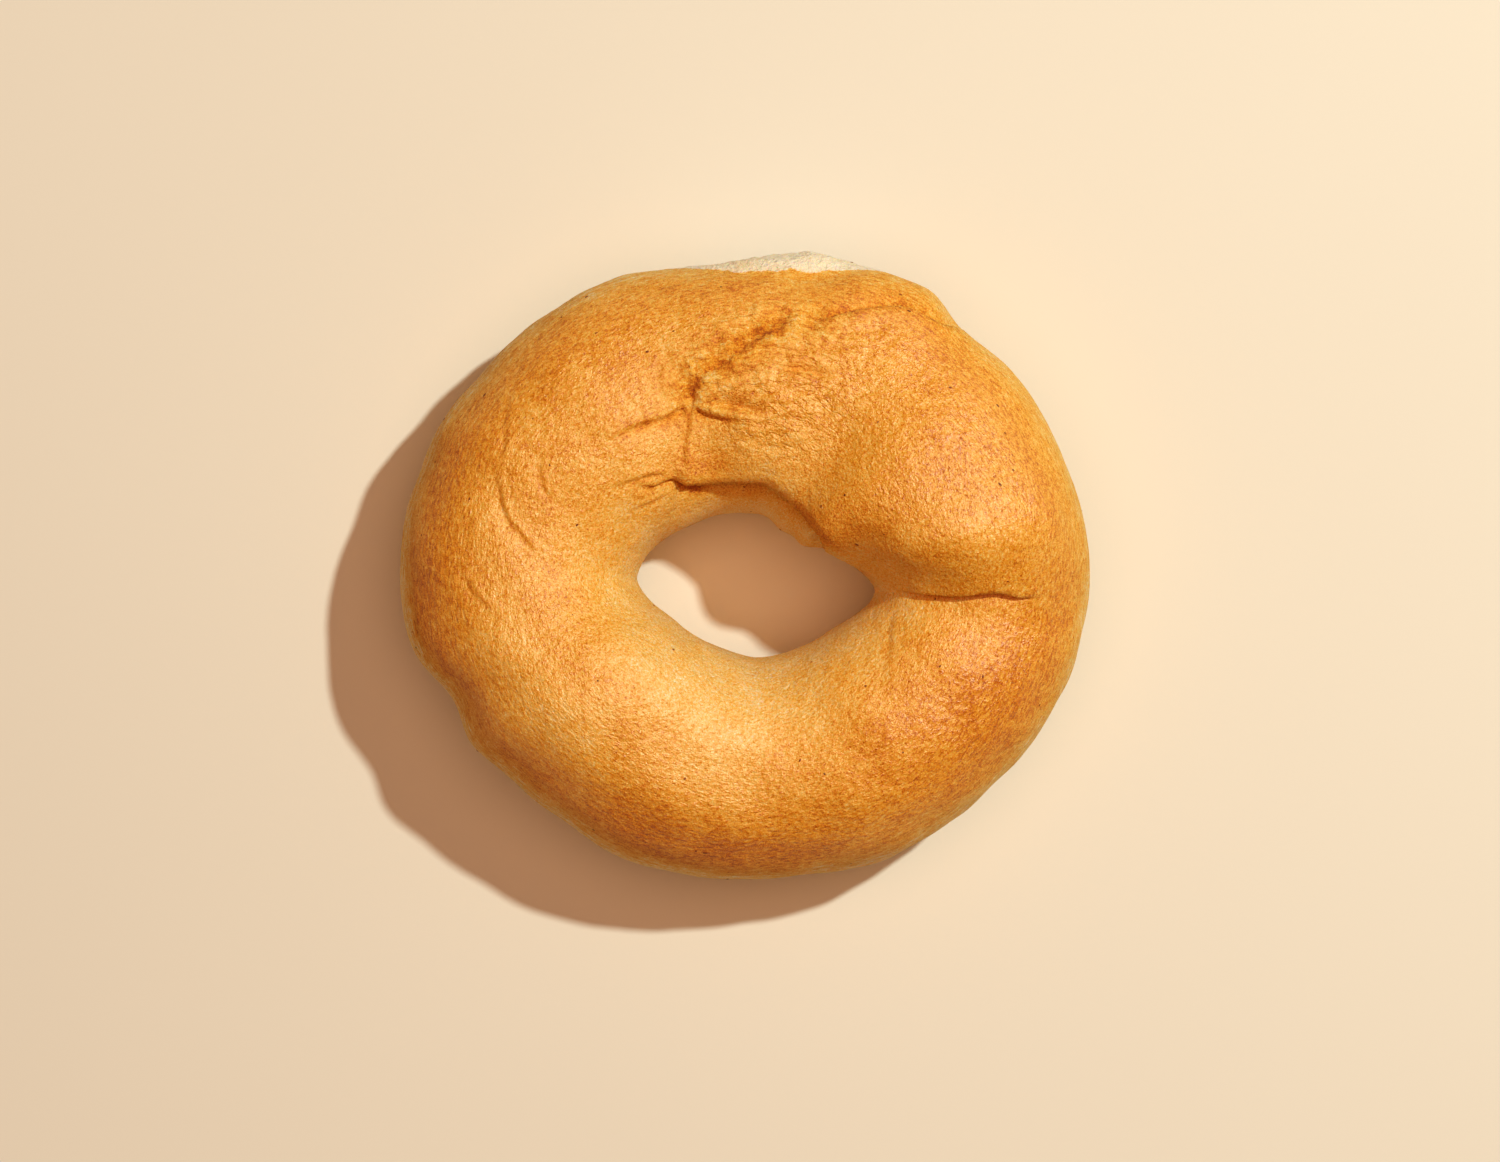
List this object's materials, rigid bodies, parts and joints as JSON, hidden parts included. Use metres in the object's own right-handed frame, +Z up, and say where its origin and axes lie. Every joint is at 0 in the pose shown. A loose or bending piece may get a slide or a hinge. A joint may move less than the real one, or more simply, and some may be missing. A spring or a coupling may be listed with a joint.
{
  "type": "bagel",
  "caption": "Plain baked bagel: an oval ring of dough with a lapped joint, a lip folded over its pointed hole, a side crease, a flat base and a torn patch on the back wall.",
  "frame": {"origin": "bottom centre of the bounding box, on the table under the bagel", "axes": "+X along the bagel's width, +Y from the front towards the lapped joint at the back, +Z up through the hole"},
  "size_m": [0.1098, 0.1002, 0.0395],
  "materials": {
    "crust": "golden brown baked crust with a soft gloss, browner on the outer shoulders, paler by the hole and on the rim, and bare cream crumb on the torn patch"
  },
  "bodies": {
    "root": {"bagel": "crust"}
  },
  "joints": []
}
